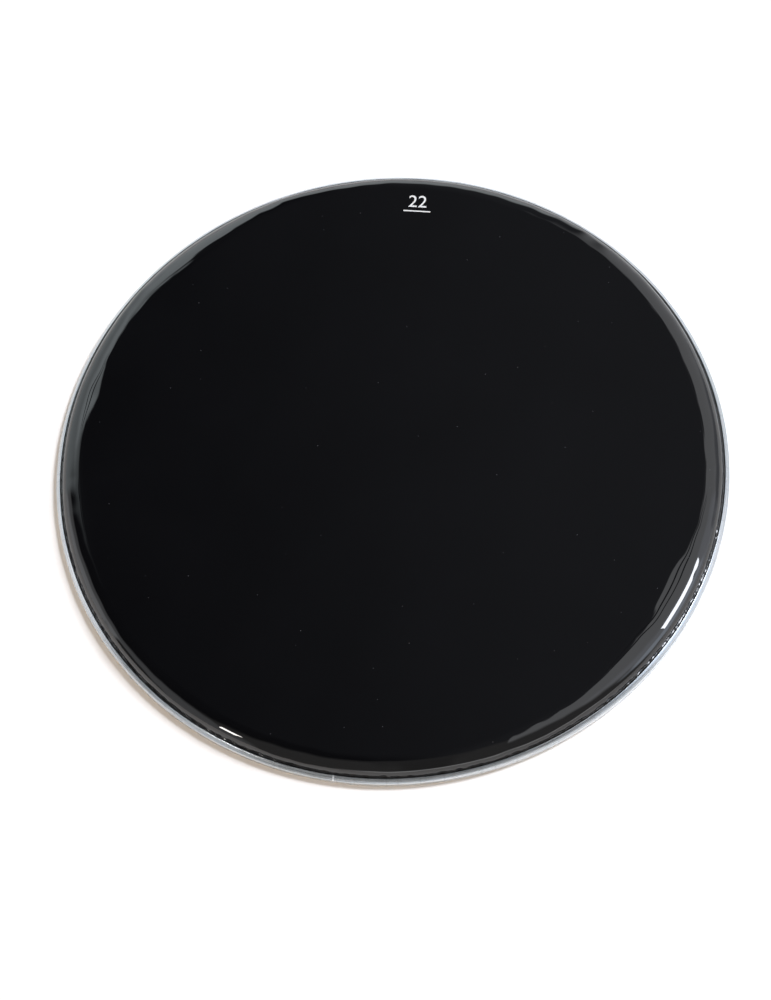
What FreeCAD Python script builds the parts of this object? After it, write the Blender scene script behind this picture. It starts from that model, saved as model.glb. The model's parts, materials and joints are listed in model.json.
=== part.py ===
import FreeCAD, Part
import math
import os

# A drum head: a formed polyester film whose foot is set in resin in a ring of aluminium channel.
# The origin is on the drum's axis, level with the underside of the channel, and +Z points to the playing side.
# Lengths are in millimetres and angles in degrees.

# Drum shell that the head covers
shell_diameter = 558.8  # outside of the shell
shell_clearance = 1.6  # room between the shell and the bore of the hoop, on the radius

# Aluminium channel, bent from one strip and joined end to end
strip_thickness = 0.8
channel_width = 7.5  # from the bore to the outer wall, over the metal
inner_wall_height = 6.5
outer_wall_height = 4.9  # where the outer wall bends in towards the film
lip_height = 9.0  # top of the lip
bend_radius = 0.4  # inside of every bend of the strip
seam_azimuth = -105.5  # from +X towards +Y
seam_width = 1.5  # gap between the ends of the strip, along the outer wall

# Polyester film
film_thickness = 0.25
film_standoff = 1.6  # room between the inner wall and the film, level with the lip
lip_gap = 1.05  # room between the film and the lip
collar_height = 11.4  # playing surface above the lip
wall_draft = 8.0  # lean of the collar's wall from the vertical
lower_shoulder_radius = 8.0
upper_shoulder_radius = 16.0
upper_shoulder_turn = 54.0  # part of the bend that the upper shoulder takes

# Foot of the film, set in the resin
foot_clearance = 1.0  # room between the foot and the floor of the channel
resin_set_back = 0.5  # resin below the top of the inner wall
key_hole_count = 72
key_hole_diameter = 3.0

# Radii and heights that follow from the sizes above
bore_radius = shell_diameter / 2 + shell_clearance
outer_radius = bore_radius + channel_width
film_radius = bore_radius + strip_thickness + film_standoff + film_thickness
foot_height = strip_thickness + foot_clearance
resin_level = inner_wall_height - resin_set_back
full_turn = math.degrees(math.tau)
seam_angle = math.degrees(seam_width / outer_radius)

# Headings in a half section, which lies in the XZ plane
AXIS = FreeCAD.Vector(0, 0, 1)
UP = AXIS
DOWN = -AXIS
OUTWARDS = FreeCAD.Vector(1, 0, 0)
INWARDS = -OUTWARDS


def left_of(heading):
    """The heading square to the left."""
    return FreeCAD.Vector(-heading.z, 0, heading.x)


def turned(heading, angle):
    """The heading after a turn to the left."""
    turn = math.radians(angle)
    return heading * math.cos(turn) + left_of(heading) * math.sin(turn)


def turn_between(first, second):
    """The left turn from one heading to another."""
    return math.degrees(math.atan2(left_of(first).dot(second), first.dot(second)))


def trace(start, heading, moves, shift):
    """Edges along a path of left turns, shifted to its left, with the end and the heading of the path.

    A move is a length with no turn, or the radius of an arc with its turn.
    """
    edges = []
    place = start
    for size, turn in moves:
        left = left_of(heading)
        if turn:
            centre = place + left * size
            spokes = [turned(-left, turn * share) for share in (0, 0.5, 1)]
            corners = [centre + spoke * (size - shift) for spoke in spokes]
            edges.append(Part.Arc(*corners).toShape())
            heading = turned(heading, turn)
            place = centre + spokes[-1] * size
        else:
            end = place + heading * size
            edges.append(Part.LineSegment(place + left * shift, end + left * shift).toShape())
            place = end
    return edges, place, heading


def end_cap(place, heading, half, rounded):
    """Edge that closes the end of a sheet, round or square."""
    side = left_of(heading) * half
    if rounded:
        return Part.Arc(place + side, place + heading * half, place - side).toShape()
    return Part.LineSegment(place + side, place - side).toShape()


def face_of(edges):
    """Flat face inside a closed run of edges."""
    return Part.Face(Part.Wire(Part.__sortEdges__(edges)))


def sheet_section(start, heading, moves, thickness, rounded):
    """Half section of a sheet whose middle follows a path."""
    half = thickness / 2
    left, end, end_heading = trace(start, heading, moves, half)
    right = trace(start, heading, moves, -half)[0]
    caps = [end_cap(end, end_heading, half, rounded), end_cap(start, -heading, half, rounded)]
    return face_of(left + right + caps)


def spin(section, start_azimuth, angle):
    """Solid that a half section sweeps about the drum's axis."""
    solid = section.revolve(FreeCAD.Vector(), AXIS, angle)
    solid.rotate(FreeCAD.Vector(), AXIS, start_azimuth)
    return solid


def channel_path():
    """Middle of the strip: down the inner wall, out along the floor, up the outer wall and in to the lip."""
    half = strip_thickness / 2
    bend = bend_radius + half
    start = FreeCAD.Vector(bore_radius + half, 0, inner_wall_height - half)
    lip = FreeCAD.Vector(film_radius + lip_gap + half, 0, lip_height - half)
    bend_centre = FreeCAD.Vector(outer_radius - half - bend, 0, outer_wall_height)
    reach = lip - bend_centre
    face_run = math.sqrt(reach.Length**2 - bend**2)
    face_turn = turn_between(UP, reach) + math.degrees(math.atan2(bend, face_run))
    moves = [
        (inner_wall_height - strip_thickness - bend, 0),
        (bend, turn_between(DOWN, OUTWARDS)),
        (channel_width - strip_thickness - 2 * bend, 0),
        (bend, turn_between(OUTWARDS, UP)),
        (outer_wall_height - half - bend, 0),
        (bend, face_turn),
        (face_run, 0),
    ]
    return start, moves


def make_channel_section():
    """Half section of the channel."""
    start, moves = channel_path()
    return sheet_section(start, DOWN, moves, strip_thickness, True)


def make_resin_section():
    """Half section of the space inside the channel, up to the level of the resin."""
    start, moves = channel_path()
    walls = trace(start, DOWN, moves, strip_thickness / 2)[0]
    mouth = Part.LineSegment(walls[-1].lastVertex().Point, walls[0].firstVertex().Point).toShape()
    corners = [(bore_radius, 0), (outer_radius, 0), (outer_radius, resin_level), (bore_radius, resin_level)]
    outline = [FreeCAD.Vector(radius, 0, height) for radius, height in corners]
    below = Part.Face(Part.makePolygon(outline + outline[:1]))
    return face_of(walls + [mouth]).common(below).Faces[0]


def make_film_section():
    """Half section of the film: up from the foot, over two shoulders and in to the axis."""
    half = film_thickness / 2
    wall_heading = turned(UP, wall_draft)
    lower_turn = turn_between(wall_heading, INWARDS) - upper_shoulder_turn
    shoulders = [(lower_shoulder_radius, lower_turn), (upper_shoulder_radius, upper_shoulder_turn)]
    shoulder_end = trace(FreeCAD.Vector(), wall_heading, shoulders, 0)[1]
    top = lip_height + collar_height - half
    wall_run = (top - shoulder_end.z - foot_height) / math.cos(math.radians(wall_draft))
    foot_radius = film_radius - half + (lip_height - foot_height) * math.tan(math.radians(wall_draft))
    foot = FreeCAD.Vector(foot_radius, 0, foot_height)
    flat_radius = (foot + wall_heading * wall_run + shoulder_end).x
    moves = [(wall_run, 0)] + shoulders + [(flat_radius, 0)]
    return sheet_section(foot, wall_heading, moves, film_thickness, False)


def make_key_holes():
    """Row of radial holes through the buried foot of the film."""
    height = (foot_height + resin_level) / 2
    base = FreeCAD.Vector(bore_radius, 0, height)
    first = Part.makeCylinder(key_hole_diameter / 2, channel_width, base, OUTWARDS)
    holes = []
    for index in range(key_hole_count):
        hole = first.copy()
        hole.rotate(FreeCAD.Vector(), AXIS, full_turn * index / key_hole_count)
        holes.append(hole)
    return holes


channel_section = make_channel_section()
hoop_channel = spin(channel_section, seam_azimuth + seam_angle / 2, full_turn - seam_angle)
seam_weld = spin(channel_section, seam_azimuth - seam_angle / 2, seam_angle)
head_film = spin(make_film_section(), 0, full_turn).cut(make_key_holes())
resin_lock = spin(make_resin_section(), 0, full_turn).cut(head_film)

pieces = {
    "head_film": head_film,
    "hoop_channel": hoop_channel,
    "seam_weld": seam_weld,
    "resin_lock": resin_lock,
}
os.makedirs("parts", exist_ok=True)
for name, shape in pieces.items():
    print(name, "solids", len(shape.Solids), "valid", shape.isValid(), "volume", round(shape.Volume, 1))
    shape.exportStep("parts/" + name + ".step")
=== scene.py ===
import json
import math

import bpy
from mathutils import Matrix, Vector, noise


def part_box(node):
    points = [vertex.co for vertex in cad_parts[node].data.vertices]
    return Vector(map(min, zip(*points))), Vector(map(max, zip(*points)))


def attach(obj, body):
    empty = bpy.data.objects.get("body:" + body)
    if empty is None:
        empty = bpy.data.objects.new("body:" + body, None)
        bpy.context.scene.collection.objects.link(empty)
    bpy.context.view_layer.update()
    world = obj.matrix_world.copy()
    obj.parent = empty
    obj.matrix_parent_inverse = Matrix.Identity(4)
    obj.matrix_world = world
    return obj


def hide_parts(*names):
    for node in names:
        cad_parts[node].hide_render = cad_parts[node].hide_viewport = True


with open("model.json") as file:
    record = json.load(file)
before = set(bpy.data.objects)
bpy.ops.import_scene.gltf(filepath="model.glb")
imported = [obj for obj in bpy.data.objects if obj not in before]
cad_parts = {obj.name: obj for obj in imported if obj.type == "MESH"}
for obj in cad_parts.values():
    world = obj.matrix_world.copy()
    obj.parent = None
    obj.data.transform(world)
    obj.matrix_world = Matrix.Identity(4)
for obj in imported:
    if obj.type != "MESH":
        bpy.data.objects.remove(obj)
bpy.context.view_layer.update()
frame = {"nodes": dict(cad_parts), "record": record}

mountSizes = {mount["name"]: mount["dims"] for mount in frame["record"]["mounts"]}
boreRadius = mountSizes["shell_socket"]["r_mm"] / 1000
rimRadius = mountSizes["rim_seat"]["r_mm"] / 1000
softRange = {"interpolation_type": "SMOOTHSTEP"}  # settings of the nodes that fade a value
colorMix = {"data_type": "RGBA"}  # settings of the nodes that mix two colours


# hex colour to the linear values that shaders use, times a level
def hexColor(code, level=1.0):
    channels = [int(code[i:i + 2], 16) / 255 for i in (1, 3, 5)]
    linear = [c / 12.92 if c <= 0.04045 else ((c + 0.055) / 1.055) ** 2.4 for c in channels]
    return (*[c * level for c in linear], 1.0)


# fixed values, or outputs of other nodes, into the inputs of a node
def feedNode(tree, node, inputs):
    for key, value in inputs.items():
        if isinstance(value, bpy.types.NodeSocket):
            tree.links.new(value, node.inputs[key])
        else:
            node.inputs[key].default_value = value


# one node with its inputs and its settings, which gives its outputs
def addNode(tree, kind, inputs, **settings):
    node = tree.nodes.new(kind)
    for key, value in settings.items():
        setattr(node, key, value)
    feedNode(tree, node, inputs)
    return node.outputs


def newMaterial(name):
    material = bpy.data.materials.new(name)
    material.use_nodes = True
    tree = material.node_tree
    return material, tree, tree.nodes["Principled BSDF"]


# place round the rim as (length along the rim, radius, height), so that a pattern runs along the strip
def rimPlace(tree):
    place = addNode(tree, "ShaderNodeTexCoord", {})["Object"]
    parts = addNode(tree, "ShaderNodeSeparateXYZ", {"Vector": place})
    turn = addNode(tree, "ShaderNodeMath", {0: parts["Y"], 1: parts["X"]}, operation="ARCTAN2")["Value"]
    along = addNode(tree, "ShaderNodeMath", {0: turn, 1: rimRadius}, operation="MULTIPLY")["Value"]
    flat = addNode(tree, "ShaderNodeCombineXYZ", {"X": parts["X"], "Y": parts["Y"]})["Vector"]
    radius = addNode(tree, "ShaderNodeVectorMath", {0: flat}, operation="LENGTH")["Value"]
    return addNode(tree, "ShaderNodeCombineXYZ", {"X": along, "Y": radius, "Z": parts["Z"]})["Vector"]


# noise in cells of the given length along the strip and width across it, in metres
def stripNoise(tree, place, length, width, detail):
    cells = (1 / length, 1 / width, 1 / width)
    stretched = addNode(tree, "ShaderNodeMapping", {"Vector": place, "Scale": cells})["Vector"]
    return addNode(tree, "ShaderNodeTexNoise", {"Vector": stretched, "Scale": 1.0, "Detail": detail})["Fac"]


def deselectAll():
    if bpy.context.object and bpy.context.object.mode != "OBJECT":
        bpy.ops.object.mode_set(mode="OBJECT")
    bpy.ops.object.select_all(action="DESELECT")


# points of an arc in a half section, without its first point
def arcPoints(centre, radius, startAngle, endAngle, steps):
    points = []
    for i in range(1, steps + 1):
        angle = math.radians(startAngle + (endAngle - startAngle) * i / steps)
        points.append((centre[0] + radius * math.cos(angle), centre[1] + radius * math.sin(angle)))
    return points


# points along a straight run, without its first point
def runPoints(start, end, steps):
    parts = [i / steps for i in range(1, steps + 1)]
    return [(start[0] + (end[0] - start[0]) * p, start[1] + (end[1] - start[1]) * p) for p in parts]


# points along a run that stands out to the right of its way, without its first point
def bowPoints(start, end, bow, steps):
    length = math.dist(start, end)
    right = ((end[1] - start[1]) / length, (start[0] - end[0]) / length)
    points = []
    for i, point in enumerate(runPoints(start, end, steps), 1):
        out = 4 * bow * i / steps * (1 - i / steps)
        points.append((point[0] + right[0] * out, point[1] + right[1] * out))
    return points


# smooth uneven wave round the rim, from -1 to 1, with about so many swells in a turn
def rimWave(angle, swells, seed):
    reach = swells / (2 * math.pi)
    return noise.noise(Vector((reach * math.cos(angle), reach * math.sin(angle), seed)))


def smoothStep(low, high, value):
    part = min(max((value - low) / (high - low), 0.0), 1.0)
    return part * part * (3 - 2 * part)


# a bump of height 1 at one angle, in degrees, fading to both sides
def swell(angle, middle, width):
    away = (math.degrees(angle) - middle + 180) % 360 - 180
    return math.exp(-(away / width) ** 2)


def dressPiece(piece, material, node, smoothAngle):
    deselectAll()
    piece.select_set(True)
    bpy.context.view_layer.objects.active = piece
    bpy.ops.object.shade_smooth_by_angle(angle=math.radians(smoothAngle))
    piece.data.materials.clear()
    piece.data.materials.append(material)
    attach(piece, "root")
    if node:
        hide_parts(node)


# polyester film: flat playing surface, two shoulders, a steep wall and a foot in the channel
film = {
    "steps": 1400,  # round the rim
    "thickness": 0.00025,
    "wallDraft": 8.0,  # degrees from upright
    "lowerShoulder": 0.008,  # radii of the two bends, at mid film
    "upperShoulder": 0.016,
    "upperTurn": 54.0,  # degrees of the upper bend
    "flatRings": (0.0015, 0.0035, 0.0055, 0.0075, 0.0095, 0.0115, 0.014, 0.02, 0.1),  # in from the shoulder
    "footRise": (0.006, 0.0082),  # heights between which the waves of the wall set in
    "ledgeStart": 0.0092,  # heights between which the wall steps in above the lip
    "ledgeEnd": 0.0099,
    "ledgeRings": 6,
    "ledgeOut": 0.0005,  # shift of the wall below the step and above it
    "ledgeIn": -0.0007,
    "ledgeFade": (0.0115, 0.0195),  # heights between which that shift dies out
    "evenRadius": 0.24,  # the flat has no waves inside this
    "edgeFade": (0.25, 0.267),  # radii between which the wander of the edge sets in
    "edgeDepth": 0.0016,  # how far the edge of the flat wanders
    "edgeWave": (26, 3.7),  # here and below: swells in a turn, and a seed
    "edgeRipple": (90, 8.1),
    # stretches where the flat is slack: angle, reach and width
    "droops": ((-34, 15, 0.0095), (-50, 7, 0.004), (159.5, 6, 0.007), (126, 14, 0.007)),
    "droopEnd": 0.2695,  # radius where the slack ends
    "droopSlope": 0.075,  # how steeply the slack sinks
    "droopRound": 0.002,  # soft start of that slope
    "droopWave": (70, 4.4),
    "looseEdge": (-0.001, 0.003),  # about the start of the slack, where its ripples set in
    "looseWidth": 0.009,  # slack as wide as this has full ripples
    "slackLeast": 0.001,  # added to the slack's width, so that a share of it is never by nothing
    "foldWave": (36, 6.6),  # wander of the folds that run along the slack
    "leans": ((55, 28, 0.0005), (-85, 32, 0.0005)),  # leans of the wall to the lip: angle, reach and shift
    "leanFade": 0.016,  # height where the lean starts to die out
    "pleatDepth": 0.001,  # fine pleats where the film goes under the lip
    "pleatLimit": 0.0003,
    "pleatFade": 0.0125,  # height where the pleats have died out
    "pleatWave": (420, 1.3),
    "pleatGroups": (40, 5.9),  # stretches with deeper and shallower pleats
}


# half section of the film's outside, from the foot up and in to the last ring of the flat
def filmRings():
    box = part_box("head_film")
    half = film["thickness"] / 2
    upper = film["upperShoulder"] + half
    lower = film["lowerShoulder"] + half
    draft = math.radians(film["wallDraft"])
    turn = math.radians(film["upperTurn"])
    footRadius, footHeight, top = box[1][0], box[0][2], box[1][2]
    wallTop = top - upper * (1 - math.cos(turn)) - lower * (math.cos(turn) - math.sin(draft))
    wallRadius = footRadius - (wallTop - footHeight) * math.tan(draft)
    lowerCentre = (wallRadius - lower * math.cos(draft), wallTop - lower * math.sin(draft))
    flatRadius = lowerCentre[0] - (upper - lower) * math.sin(turn)
    ledgeRise = film["ledgeEnd"] - film["ledgeStart"]
    heights = [footHeight, *film["footRise"], film["ledgeStart"]]
    for i in range(1, film["ledgeRings"] + 1):
        heights.append(film["ledgeStart"] + ledgeRise * i / film["ledgeRings"])
    heights.append(wallTop)
    rings = [(footRadius - (height - footHeight) * math.tan(draft), height) for height in heights]
    rings += arcPoints(lowerCentre, lower, film["wallDraft"], 90 - film["upperTurn"], 5)
    rings += arcPoints((flatRadius, top - upper), upper, 90 - film["upperTurn"], 90, 9)
    return rings + [(flatRadius - inset, top) for inset in film["flatRings"]]


# a stack of rings, each drawn out of the one below, closed in the middle
def stackRings(name, rings, steps):
    deselectAll()
    radius, height = rings[0]
    bpy.ops.mesh.primitive_circle_add(vertices=steps, radius=radius, location=(0, 0, height))
    piece = bpy.context.object
    piece.name = name
    bpy.ops.object.transform_apply(location=True, rotation=True, scale=True)
    bpy.ops.object.mode_set(mode="EDIT")
    bpy.ops.mesh.select_all(action="SELECT")
    for nextRadius, nextHeight in rings[1:]:
        size = nextRadius / radius
        bpy.ops.mesh.extrude_edges_move()
        bpy.ops.transform.resize(value=(size, size, 1), center_override=(0, 0, 0))
        bpy.ops.transform.translate(value=(0, 0, nextHeight - height))
        radius, height = nextRadius, nextHeight
    bpy.ops.mesh.extrude_edges_move()
    bpy.ops.mesh.merge(type="CENTER")
    bpy.ops.mesh.select_all(action="SELECT")
    bpy.ops.mesh.normals_make_consistent(inside=False)
    bpy.ops.object.mode_set(mode="OBJECT")
    return piece


# at one angle: shift of the edge, width of the slack, wander of its folds, pleat and lean of the wall
def filmWaves(angle):
    wander = rimWave(angle, *film["edgeWave"]) + 0.5 * rimWave(angle, *film["edgeRipple"])
    edge = film["edgeDepth"] * wander
    slack = sum(width * swell(angle, middle, reach) for middle, reach, width in film["droops"])
    slack *= 1 + 0.3 * rimWave(angle, *film["droopWave"])
    fold = 0.5 * rimWave(angle, *film["foldWave"])
    group = 0.4 + abs(rimWave(angle, *film["pleatGroups"]))
    pleat = film["pleatDepth"] * rimWave(angle, *film["pleatWave"]) * group
    pleat = min(max(pleat, -film["pleatLimit"]), film["pleatLimit"])
    lean = sum(shift * swell(angle, middle, reach) for middle, reach, shift in film["leans"])
    return edge, slack, fold, pleat, lean


# how far slack film has sunk at one radius
def slackDrop(slack, radius):
    into = min(max(radius - film["droopEnd"] + slack, 0.0), slack)
    return film["droopSlope"] * into * into / (into + film["droopRound"])


def waveFilm(piece):
    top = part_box("head_film")[1][2]
    steps = film["steps"]
    waves = [filmWaves(2 * math.pi * i / steps) for i in range(steps)]
    loose = piece.data.attributes.new("loose", "FLOAT", "POINT")  # strength of the material's ripples
    crossed = piece.data.attributes.new("crossed", "FLOAT", "POINT")  # share of the slack's width
    for vertex in piece.data.vertices:
        radius = math.hypot(vertex.co.x, vertex.co.y)
        if radius < film["evenRadius"]:
            continue
        height = vertex.co.z
        step = round(math.atan2(vertex.co.y, vertex.co.x) / (2 * math.pi) * steps) % steps
        edge, slack, fold, pleat, lean = waves[step]
        rise = smoothStep(film["ledgeStart"], film["ledgeEnd"], height)
        ledge = (film["ledgeOut"] - lean) * (1 - rise) + film["ledgeIn"] * rise
        foot = smoothStep(*film["footRise"], height)
        ledge *= foot * (1 - smoothStep(*film["ledgeFade"], height))
        upper = smoothStep(film["ledgeEnd"], top, height)
        shoulder = upper * smoothStep(*film["edgeFade"], radius)
        pleat *= foot * (1 - smoothStep(film["ledgeStart"], film["pleatFade"], height))
        lean *= foot * (1 - smoothStep(film["leanFade"], top, height))
        size = 1 + (edge * shoulder + ledge + pleat + lean) / radius
        vertex.co.x *= size
        vertex.co.y *= size
        vertex.co.z -= slackDrop(slack, radius) * upper
        start = film["droopEnd"] - slack
        inside = smoothStep(start + film["looseEdge"][0], start + film["looseEdge"][1], radius)
        loose.data[vertex.index].value = min(slack / film["looseWidth"], 1.0) * inside * upper
        across = (radius - start) / (slack + film["slackLeast"])
        crossed.data[vertex.index].value = across + fold


def makeFilm():
    piece = stackRings("headFilm", filmRings(), film["steps"])
    waveFilm(piece)
    sheet = piece.modifiers.new("sheet", "SOLIDIFY")
    sheet.thickness = film["thickness"]
    sheet.offset = -1
    sheet.use_even_offset = True
    bpy.ops.object.modifier_apply(modifier=sheet.name)
    dressPiece(piece, blackFilm(), "head_film", 50)
    print("film", len(piece.data.vertices), "points")


# polyester film, dyed black and cast: a mirror gloss with dust, faint hand marks and lines from forming
def blackFilm():
    material, tree, shader = newMaterial("blackPolyesterFilm")
    place = addNode(tree, "ShaderNodeTexCoord", {})["Object"]
    hands = {"Vector": place, "Scale": 1 / 0.09, "Detail": 3.0}  # marks about 90 mm across
    marks = addNode(tree, "ShaderNodeTexNoise", hands)["Fac"]
    shades = {"A": hexColor("#040405"), "B": hexColor("#08080a")}
    tint = addNode(tree, "ShaderNodeMix", {"Factor": marks, **shades}, **colorMix)["Result"]
    fade = {"Value": marks, "From Min": 0.5, "From Max": 0.75, "To Min": 0.012, "To Max": 0.04}
    gloss = addNode(tree, "ShaderNodeMapRange", fade, **softRange)["Result"]

    # specks of dust, drawn coarser than real, to show: under 1 mm across, in about a third of 30 mm cells
    cells = {"Vector": place, "Scale": 1 / 0.03}
    dust = addNode(tree, "ShaderNodeTexVoronoi", cells, voronoi_dimensions="2D")
    fade = {"Value": dust["Distance"], "From Min": 0.009, "From Max": 0.015, "To Min": 1.0, "To Max": 0.0}
    speck = addNode(tree, "ShaderNodeMapRange", fade, **softRange)["Result"]
    chance = addNode(tree, "ShaderNodeSeparateColor", {"Color": dust["Color"]})["Red"]
    fade = {"Value": chance, "From Min": 0.7, "From Max": 1.0}
    some = addNode(tree, "ShaderNodeMapRange", fade, **softRange)["Result"]
    speck = addNode(tree, "ShaderNodeMath", {0: speck, 1: some}, operation="MULTIPLY")["Value"]
    shades = {"A": tint, "B": hexColor("#4c4c50")}
    tint = addNode(tree, "ShaderNodeMix", {"Factor": speck, **shades}, **colorMix)["Result"]

    # relief, each layer with its strength, its pattern and its height
    rim = rimPlace(tree)
    parts = addNode(tree, "ShaderNodeSeparateXYZ", {"Vector": rim})
    loose = addNode(tree, "ShaderNodeAttribute", {}, attribute_name="loose")["Fac"]
    crossed = addNode(tree, "ShaderNodeAttribute", {}, attribute_name="crossed")["Fac"]
    layers = [(loose, stripNoise(tree, rim, 0.1, 0.006, 0.0), 0.0003)]  # ripples where the film is slack
    for start in (0.3, 0.62):  # two folds along the slack
        fade = {"Value": crossed, "From Min": start, "From Max": start + 0.12}
        fold = addNode(tree, "ShaderNodeMapRange", fade, **softRange)["Result"]
        layers.append((loose, fold, 0.0001))
    fade = {"Value": parts["Y"], "From Min": 0.262, "From Max": 0.272, "To Min": 0.0, "To Max": 0.5}
    collar = addNode(tree, "ShaderNodeMapRange", fade, **softRange)["Result"]
    layers.append((collar, stripNoise(tree, rim, 0.12, 0.0016, 2.0), 0.00006))  # lines that forming leaves
    fade = {"Value": parts["Z"], "From Min": 0.01, "From Max": 0.0116, "To Min": 0.9, "To Max": 0.0}
    foot = addNode(tree, "ShaderNodeMapRange", fade, **softRange)["Result"]
    layers.append((foot, stripNoise(tree, rim, 0.007, 0.0032, 1.0), 0.0012))  # fine crinkles beside the lip
    relief = {}
    for strength, pattern, height in layers:
        bump = {"Strength": strength, "Height": pattern, "Distance": height, **relief}
        relief = {"Normal": addNode(tree, "ShaderNodeBump", bump)["Normal"]}
    feedNode(tree, shader, {"Base Color": tint, "Roughness": gloss, "IOR": 1.65, **relief})
    return material


# aluminium channel: inner wall, floor, outer wall, leaning face and rounded lip
hoop = {
    "steps": 360,  # round the rim
    "sheet": 0.0008,
    "bend": 0.0004,  # inside of each bend
    "outerWall": 0.0049,  # height where the outer wall bends in
    "innerRise": 0.0005,  # top of the inner wall above the resin
    "lipRadius": 0.2851,  # middle of the lip
    "faceBow": 0.00015,  # how far the leaning face stands out in its middle
    "seamAngle": -105.5,  # degrees from +X
    "seamWidth": 0.0015,
    "dentDepth": 0.00015,
    "dentWave": (50, 2.2),  # swells in a turn, and a seed
    "dentFade": (0.004, 0.0085),  # heights between which the dents set in
}


# closed half section of the channel, anticlockwise from the lower end of the bore
def hoopSection():
    sheet, bend, wall = hoop["sheet"], hoop["bend"], hoop["outerWall"]
    half = sheet / 2
    outside = bend + sheet
    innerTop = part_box("resin_lock")[1][2] + hoop["innerRise"]
    lip = (hoop["lipRadius"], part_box("hoop_channel")[1][2] - half)
    bendCentre = (rimRadius - outside, wall)
    reach = (lip[0] - bendCentre[0], lip[1] - bendCentre[1])
    faceRun = math.sqrt(reach[0] ** 2 + reach[1] ** 2 - (bend + half) ** 2)
    faceTurn = math.degrees(math.atan2(reach[1], reach[0]) + math.atan2(bend + half, faceRun)) - 90
    bowTurn = math.degrees(4 * hoop["faceBow"] / faceRun)  # slope of the bow at its ends
    faceEnd = arcPoints(lip, half, faceTurn, faceTurn, 1)[0]
    points = [(boreRadius, outside)]
    points += arcPoints((boreRadius + outside, outside), outside, 180, 270, 6)
    points += runPoints(points[-1], (rimRadius - outside, 0), 4)
    points += arcPoints((rimRadius - outside, outside), outside, 270, 360, 6)
    points += runPoints(points[-1], (rimRadius, wall), 3)
    points += arcPoints(bendCentre, outside, 0, faceTurn - bowTurn, 5)
    points += bowPoints(points[-1], faceEnd, hoop["faceBow"], 8)
    points += arcPoints(lip, half, faceTurn, faceTurn + 180, 6)
    points += runPoints(points[-1], arcPoints(bendCentre, bend, faceTurn, faceTurn, 1)[0], 3)
    points += arcPoints(bendCentre, bend, faceTurn, 0, 3)
    points += runPoints(points[-1], (rimRadius - sheet, outside), 1)
    points += arcPoints((rimRadius - outside, outside), bend, 0, -90, 3)
    points += runPoints(points[-1], (boreRadius + outside, sheet), 2)
    points += arcPoints((boreRadius + outside, outside), bend, 270, 180, 3)
    points += runPoints(points[-1], (boreRadius + sheet, innerTop - half), 2)
    points += arcPoints((boreRadius + half, innerTop - half), half, 0, 180, 6)
    return points


# a closed half section of (radius, height) points, spun about the drum's axis
def spinSection(name, section, startAngle, sweepAngle, steps):
    deselectAll()
    bpy.ops.mesh.primitive_circle_add(vertices=len(section), radius=section[0][0])
    piece = bpy.context.object
    piece.name = name
    startTurn = Matrix.Rotation(math.radians(startAngle), 3, "Z")
    for vertex, (radius, height) in zip(piece.data.vertices, section):
        vertex.co = startTurn @ Vector((radius, 0, height))
    bpy.ops.object.mode_set(mode="EDIT")
    bpy.ops.mesh.select_all(action="SELECT")
    bpy.ops.mesh.spin(steps=steps, angle=math.radians(-sweepAngle), center=(0, 0, 0), axis=(0, 0, 1))
    bpy.ops.mesh.select_all(action="SELECT")
    bpy.ops.mesh.remove_doubles(threshold=1e-6)
    bpy.ops.mesh.select_all(action="SELECT")
    bpy.ops.mesh.fill_holes(sides=0)
    bpy.ops.mesh.select_all(action="SELECT")
    bpy.ops.mesh.normals_make_consistent(inside=False)
    bpy.ops.object.mode_set(mode="OBJECT")
    return piece


# shallow dents from handling, in the leaning face and the lip
def dentHoop(piece):
    for vertex in piece.data.vertices:
        angle = math.atan2(vertex.co.y, vertex.co.x)
        radius = math.hypot(vertex.co.x, vertex.co.y)
        upper = smoothStep(*hoop["dentFade"], vertex.co.z)
        size = 1 + hoop["dentDepth"] * rimWave(angle, *hoop["dentWave"]) * upper / radius
        vertex.co.x *= size
        vertex.co.y *= size


def makeHoop():
    gap = math.degrees(hoop["seamWidth"] / rimRadius)
    section = hoopSection()
    ring = spinSection("hoopChannel", section, hoop["seamAngle"] + gap / 2, 360 - gap, hoop["steps"])
    weld = spinSection("seamWeld", section, hoop["seamAngle"] - gap / 2, gap, 4)
    dentHoop(ring)
    dentHoop(weld)
    dressPiece(ring, rolledAluminium(), "hoop_channel", 40)
    dressPiece(weld, groundWeld(), "seam_weld", 40)
    print("hoop", len(ring.data.vertices), "points, weld", len(weld.data.vertices))


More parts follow.
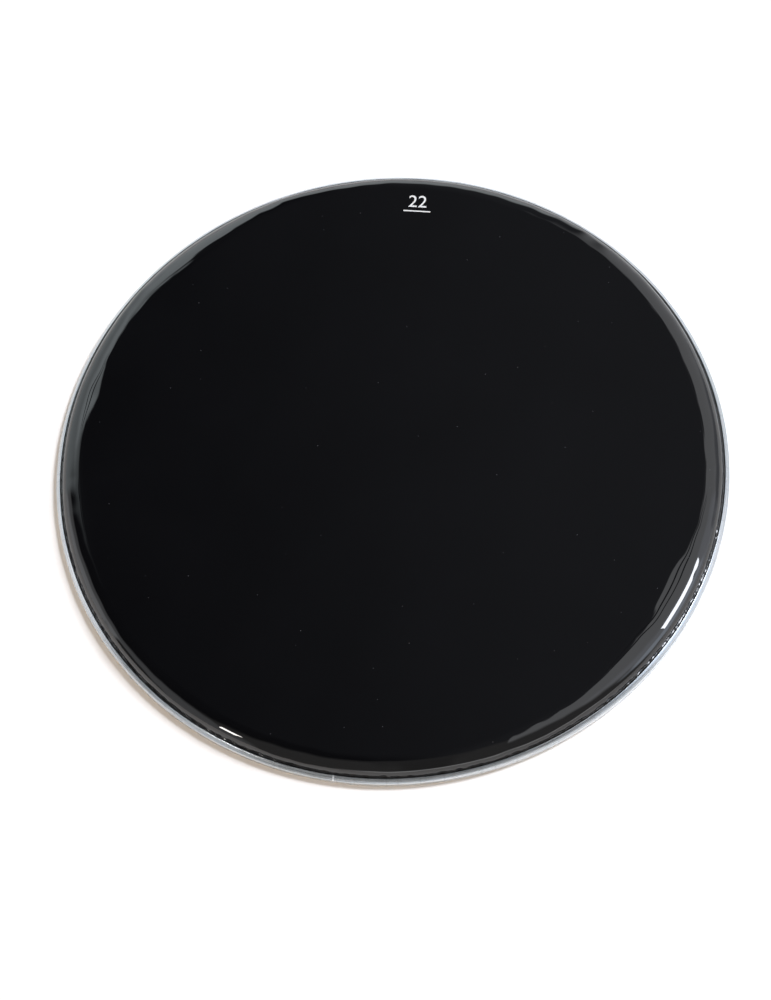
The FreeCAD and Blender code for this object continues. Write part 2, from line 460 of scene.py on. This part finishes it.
# aluminium strip, rolled: soft satin with lines along the strip, rubbed patches and press marks across it,
# and painted shade that darkens the leaning face
def rolledAluminium():
    material, tree, shader = newMaterial("rolledAluminium")
    place = rimPlace(tree)
    parts = addNode(tree, "ShaderNodeSeparateXYZ", {"Vector": place})
    lines = stripNoise(tree, place, 0.02, 0.0006, 3.0)  # drawn coarser than real, to show
    patches = stripNoise(tree, place, 0.03, 0.006, 4.0)
    shades = {"A": hexColor("#e2e6e8"), "B": hexColor("#fafbfb")}
    rubbed = addNode(tree, "ShaderNodeMix", {"Factor": patches, **shades}, **colorMix)["Result"]
    streaks = stripNoise(tree, place, 0.08, 0.0011, 2.0)
    fade = {"Value": streaks, "From Min": 0.35, "From Max": 0.65}
    worn = addNode(tree, "ShaderNodeMapRange", fade, **softRange)["Result"]
    # painted shade: the leaning face, above the wall, is tinted darker than the wall, as if it mirrored a
    # darker room
    fade = {"Value": parts["Z"], "From Min": 0.005, "From Max": 0.006, "To Min": 0.0, "To Max": 0.42}
    paintedShadeFace = addNode(tree, "ShaderNodeMapRange", fade, **softRange)["Result"]  # painted shade on the leaning face, above the wall
    cells = {"W": parts["X"], "Scale": 1 / 0.02, "Randomness": 1.0}
    marks = addNode(tree, "ShaderNodeTexVoronoi", cells, voronoi_dimensions="1D")["Distance"]
    fade = {"Value": marks, "From Min": 0.01, "From Max": 0.04, "To Min": 0.14, "To Max": 0.0}
    tick = addNode(tree, "ShaderNodeMapRange", fade, **softRange)["Result"]  # press marks about every 20 mm
    tint = hexColor("#ccd2d6")
    for mask, layer in ((worn, rubbed), (paintedShadeFace, hexColor("#858d95")), (tick, hexColor("#5d646e"))):
        shades = {"A": tint, "B": layer}
        tint = addNode(tree, "ShaderNodeMix", {"Factor": mask, **shades}, **colorMix)["Result"]
    fade = {"Value": lines, "From Min": 0.3, "From Max": 0.7, "To Min": 0.24, "To Max": 0.34}
    satin = addNode(tree, "ShaderNodeMapRange", fade, **softRange)["Result"]
    bump = {"Height": lines, "Strength": 0.25, "Distance": 0.00005}
    relief = addNode(tree, "ShaderNodeBump", bump)["Normal"]
    feedNode(tree, shader, {"Base Color": tint, "Roughness": satin, "Metallic": 1.0, "Normal": relief})
    return material


# aluminium weld, ground flush: brighter than the strip, with cross scratches
def groundWeld():
    material, tree, shader = newMaterial("groundWeld")
    scratches = stripNoise(tree, rimPlace(tree), 0.0003, 0.004, 2.0)
    shades = {"A": hexColor("#dde0e4"), "B": hexColor("#ffffff")}
    tint = addNode(tree, "ShaderNodeMix", {"Factor": scratches, **shades}, **colorMix)["Result"]
    bump = {"Height": scratches, "Strength": 0.4, "Distance": 0.00005}
    relief = addNode(tree, "ShaderNodeBump", bump)["Normal"]
    feedNode(tree, shader, {"Base Color": tint, "Roughness": 0.45, "Metallic": 1.0, "Normal": relief})
    return material


# casting resin, cured: a cloudy dark amber
def castResin():
    material, tree, shader = newMaterial("castResin")
    place = addNode(tree, "ShaderNodeTexCoord", {})["Object"]
    cloud = addNode(tree, "ShaderNodeTexNoise", {"Vector": place, "Scale": 1 / 0.004, "Detail": 4.0})["Fac"]
    shades = {"A": hexColor("#453823"), "B": hexColor("#5a4a30")}
    tint = addNode(tree, "ShaderNodeMix", {"Factor": cloud, **shades}, **colorMix)["Result"]
    fade = {"Value": cloud, "From Min": 0.3, "From Max": 0.7, "To Min": 0.3, "To Max": 0.45}
    gloss = addNode(tree, "ShaderNodeMapRange", fade, **softRange)["Result"]
    feedNode(tree, shader, {"Base Color": tint, "Roughness": gloss, "IOR": 1.55})
    return material


def dressResin():
    node = frame["nodes"]["resin_lock"]
    node.data.materials.clear()
    node.data.materials.append(castResin())
    print("resin dressed")


# plain size number over a plain rule, printed near the rim
sizeMark = {
    "words": "22",
    "height": 0.012,
    "figureShare": 0.7,  # height of a figure in its type size
    "ink": 0.00003,
    "radius": 0.2545,
    "angle": 78.6,  # degrees from +X
    "rule": (0.024, 0.0012),
    "ruleDrop": 0.0092,  # from the middle of the number
}


# screen printed ink: a matt white, a little uneven
def whiteInk():
    material, tree, shader = newMaterial("whiteInk")
    place = addNode(tree, "ShaderNodeTexCoord", {})["Object"]
    spots = {"Vector": place, "Scale": 1 / 0.0012, "Detail": 2.0}
    uneven = addNode(tree, "ShaderNodeTexNoise", spots)["Fac"]
    shades = {"A": hexColor("#d6d7d8"), "B": hexColor("#f2f2f2")}
    tint = addNode(tree, "ShaderNodeMix", {"Factor": uneven, **shades}, **colorMix)["Result"]
    feedNode(tree, shader, {"Base Color": tint, "Roughness": 0.55})
    return material


def makeSizeMark():
    deselectAll()
    bpy.ops.object.text_add()
    number = bpy.context.object
    number.data.body = sizeMark["words"]
    number.data.align_x = "CENTER"
    number.data.align_y = "CENTER"
    number.data.size = sizeMark["height"] / sizeMark["figureShare"]
    number.data.extrude = sizeMark["ink"]
    bpy.ops.object.convert(target="MESH")
    mark = bpy.context.object
    mark.name = "sizeMark"
    bpy.ops.object.mode_set(mode="EDIT")
    bpy.ops.mesh.select_all(action="DESELECT")
    bpy.ops.mesh.primitive_cube_add(size=1, location=(0, -sizeMark["ruleDrop"], 0))
    bpy.ops.transform.resize(value=(*sizeMark["rule"], 2 * sizeMark["ink"]))
    bpy.ops.mesh.bevel(offset=sizeMark["ink"] / 3, segments=1)
    bpy.ops.object.mode_set(mode="OBJECT")
    angle = math.radians(sizeMark["angle"])
    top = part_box("head_film")[1][2]
    mark.rotation_euler = (0, 0, angle - math.pi / 2)
    mark.location = (sizeMark["radius"] * math.cos(angle), sizeMark["radius"] * math.sin(angle), top)
    bpy.ops.object.transform_apply(location=True, rotation=True, scale=True)
    dressPiece(mark, whiteInk(), None, 30)
    print("size mark printed")


# white paper on a table
paper = {
    "side": 24.0,
    "drop": 0.0002,  # below the hoop, so that no faces coincide
    "shades": ("#f3f2f1", "#f9f8f7"),
    "lift": 0.08,  # white of the paper that the light doesn't reach
    "far": (1.0, 3.0),  # beyond these the paper only shows as white
}


# drawing paper, matt: takes the shadow near the object, is plain white further off and clear from below
def whitePaper():
    material, tree, shader = newMaterial("whitePaper")
    place = addNode(tree, "ShaderNodeTexCoord", {})["Object"]
    grain = addNode(tree, "ShaderNodeTexNoise", {"Vector": place, "Scale": 1 / 0.003})["Fac"]
    shades = {"A": hexColor(paper["shades"][0]), "B": hexColor(paper["shades"][1])}
    tint = addNode(tree, "ShaderNodeMix", {"Factor": grain, **shades}, **colorMix)["Result"]
    span = addNode(tree, "ShaderNodeVectorMath", {0: place}, operation="LENGTH")["Value"]
    fade = {"Value": span, "From Min": paper["far"][0], "From Max": paper["far"][1]}
    far = addNode(tree, "ShaderNodeMapRange", fade, **softRange)["Result"]
    shades = {"A": tint, "B": hexColor("#000000")}
    tint = addNode(tree, "ShaderNodeMix", {"Factor": far, **shades}, **colorMix)["Result"]
    lift = addNode(tree, "ShaderNodeMapRange", {**fade, "To Min": paper["lift"]}, **softRange)["Result"]
    rays = addNode(tree, "ShaderNodeLightPath", {})
    seen = rays["Is Camera Ray"]
    for ray in ("Is Glossy Ray", "Is Transmission Ray"):
        seen = addNode(tree, "ShaderNodeMath", {0: seen, 1: rays[ray]}, operation="MAXIMUM")["Value"]
    lift = addNode(tree, "ShaderNodeMath", {0: seen, 1: lift}, operation="MULTIPLY")["Value"]
    feedNode(tree, shader, {"Base Color": tint, "Roughness": 0.9, "Specular IOR Level": 0.0})
    feedNode(tree, shader, {"Emission Color": hexColor("#ffffff"), "Emission Strength": lift})
    behind = addNode(tree, "ShaderNodeNewGeometry", {})["Backfacing"]
    clear = addNode(tree, "ShaderNodeBsdfTransparent", {})["BSDF"]
    sides = addNode(tree, "ShaderNodeMixShader", {0: behind, 1: shader.outputs["BSDF"], 2: clear})["Shader"]
    feedNode(tree, tree.nodes["Material Output"], {"Surface": sides})
    return material


def makeTable():
    deselectAll()
    level = (0, 0, -paper["drop"])
    bpy.ops.mesh.primitive_grid_add(x_subdivisions=2, y_subdivisions=2, size=paper["side"], location=level)
    table = bpy.context.object
    table.name = "paperTable"
    bpy.ops.object.transform_apply(location=True, rotation=True, scale=True)
    table.data.materials.append(whitePaper())
    print("table laid")


# softboxes: aim is the way from the head to the lamp, and long the way that its second side runs
softboxes = {
    "key": {  # tall one on the right, which the film mirrors
        "aim": (0.727, -0.103, 0.679),
        "long": (0.575, -0.449, -0.684),
        "size": (0.46, 0.84),
        "distance": 2.4,
        "glow": 17.0,
        "color": "#f3f7ff",
    },
    "fill": {
        "aim": (-0.654, -0.579, 0.452),
        "long": (0, 0, 1),
        "size": (0.1, 0.3),
        "distance": 2.0,
        "glow": 24.0,
        "color": "#fffaf4",
    },
    "table": {  # lights the table
        "aim": (0.56, 0.316, 0.766),
        "long": (0, 0, 1),
        "size": (2.2, 2.2),
        "distance": 7.0,
        "glow": 34.7,
        "color": "#f2f7ff",
    },
    "warm": {  # warms the shadow
        "aim": (-0.6, -0.55, 0.58),
        "long": (0, 0, 1),
        "size": (0.6, 0.6),
        "distance": 2.5,
        "glow": 13.0,
        "color": "#ffcf90",
    },
}


def addSoftbox(name):
    box = softboxes[name]
    light = bpy.data.lights.new(name + "Softbox", "AREA")
    light.shape = "RECTANGLE"
    light.size, light.size_y = box["size"]
    light.energy = box["glow"] * math.pi * light.size * light.size_y
    light.color = hexColor(box["color"])[:3]
    lamp = bpy.data.objects.new(name + "Softbox", light)
    bpy.context.collection.objects.link(lamp)
    way = Vector(box["aim"]).normalized()
    across = Vector(box["long"]).cross(way).normalized()
    lamp.rotation_euler = Matrix((across, way.cross(across), way)).transposed().to_euler()
    lamp.location = way * box["distance"]
    return lamp


# dim room with pale walls, as the film mirrors it: each layer has a colour, a glow and its limits,
# and a limit is a direction with how far along it the layer starts and is full
toRight, toLeft, toFar, toViewer, down = (1, 0, 0), (-1, 0, 0), (0, 1, 0), (0, -1, 0), (0, 0, -1)
room = {
    "mattShare": 0.3,  # share of the glow that lights matt surfaces
    "ceiling": ("#eef2fb", 0.02),
    "farEnd": ("#e9f3f7", 2.0, (toRight, -0.5, -0.25)),  # right end of the far wall
    "layers": {  # each over those before it
        "ceilingRight": ("#eef2fb", 0.13, (toRight, -0.12, 0.12)),
        "near": ("#faf8f6", 0.26, (toViewer, 0.15, 0.4)),
        "nearMiddle": ("#faf8f6", 0.18, (toViewer, 0.15, 0.4),
                       (toRight, -0.16, -0.06), (toLeft, -0.16, -0.06)),
        "nearLow": ("#fbfbfc", 2.3, (toViewer, 0.5, 0.7), (down, -0.15, -0.03), (toRight, -0.4, -0.2)),
        "left": ("#f6f8fc", 0.64, (toLeft, 0.62, 0.75)),
        "leftLow": ("#f6f8fc", 1.4, (toLeft, 0.82, 0.92), (toFar, -0.15, 0.0)),
        "leftDark": ("#f6f8fc", 0.15, (toLeft, 0.9, 0.95), (toViewer, 0.0, 0.15)),
        "far": ("#e9f3f7", 1.25, ((-1, -0.06, 0), 0.07, 0.095), (toFar, 0.4, 0.52)),
        "farLow": ("#ecf3f6", 1.8, (toFar, 0.88, 0.93)),
        "right": ("#f6f8fc", 1.15, ((1, 0.15, 0), 0.175, 0.2),
                  ((1, -1.1, 0), -0.57, -0.4), (toFar, -0.55, -0.35)),
        "rightGlow": ("#f2f6ff", 1.5, (toRight, 0.4, 0.6), (toFar, -0.42, -0.3), (toViewer, -0.35, -0.2)),
        "rightLow": ("#f2f6ff", 0.6, ((1, 0.2, 0), 0.86, 0.95), (toFar, 0.0, 0.25)),
        "keyHalo": ("#e6f0ff", 2.6, ((0.87, -0.28, 0.4), 0.95, 0.985)),
        "ground": ("#f4f5f6", 0.9, (down, 0.0, 0.04)),  # seen from below
    },
}


def makeRoom():
    world = bpy.data.worlds.new("studioRoom")
    bpy.context.scene.world = world
    world.use_nodes = True
    tree = world.node_tree
    way = addNode(tree, "ShaderNodeTexCoord", {})["Generated"]

    # one colour over another, inside all the limits
    def layOver(color, tint, limits):
        inside = 1.0
        for direction, start, full in limits:
            ways = {0: way, 1: direction}
            reach = addNode(tree, "ShaderNodeVectorMath", ways, operation="DOT_PRODUCT")["Value"]
            fade = {"Value": reach, "From Min": start, "From Max": full}
            part = addNode(tree, "ShaderNodeMapRange", fade, **softRange)["Result"]
            inside = addNode(tree, "ShaderNodeMath", {0: inside, 1: part}, operation="MULTIPLY")["Value"]
        shades = {"A": color, "B": tint}
        return addNode(tree, "ShaderNodeMix", {"Factor": inside, **shades}, **colorMix)["Result"]

    endCode, endGlow, *endLimits = room["farEnd"]
    color = hexColor(*room["ceiling"])
    for name, (code, glow, *limits) in room["layers"].items():
        tint = hexColor(code, glow)
        if name == "far":
            tint = layOver(tint, hexColor(endCode, endGlow), endLimits)
        color = layOver(color, tint, limits)
    matt = addNode(tree, "ShaderNodeLightPath", {})["Is Diffuse Ray"]
    fade = {"Value": matt, "To Min": 1.0, "To Max": room["mattShare"]}
    strength = addNode(tree, "ShaderNodeMapRange", fade, **softRange)["Result"]
    feedNode(tree, tree.nodes["Background"], {"Color": color, "Strength": strength})
    print("room", len(room["layers"]), "layers")


def makeLights():
    addSoftbox("key").visible_diffuse = False  # kept to its mirror image
    addSoftbox("fill")
    for name in ("table", "warm"):
        addSoftbox(name).visible_glossy = False  # kept to the table and its shadow
    print("lights set")


# camera of the photograph
view = {
    "distance": 2.6,
    "elevation": 64.52,  # degrees
    "roll": -6.54,
    "aim": (-0.00825, -0.02818, 0.0),
    "lens": 109.52,  # mm
    "sensor": 36.0,  # mm, along the long side
}


def makeCamera():
    data = bpy.data.cameras.new("photoCamera")
    data.lens = view["lens"]
    data.sensor_width = view["sensor"]
    camera = bpy.data.objects.new("photoCamera", data)
    bpy.context.collection.objects.link(camera)
    tilt = Matrix.Rotation(math.radians(90 - view["elevation"]), 4, "X")
    turn = tilt @ Matrix.Rotation(math.radians(view["roll"]), 4, "Z")
    camera.rotation_euler = turn.to_euler()
    camera.location = Vector(view["aim"]) + turn @ Vector((0, 0, view["distance"]))
    bpy.context.scene.camera = camera
    print("camera set")


makeFilm()
makeHoop()
dressResin()
makeSizeMark()
makeTable()
makeLights()
makeRoom()
makeCamera()
bpy.context.scene.view_settings.view_transform = "Standard"

bpy.context.view_layer.update()
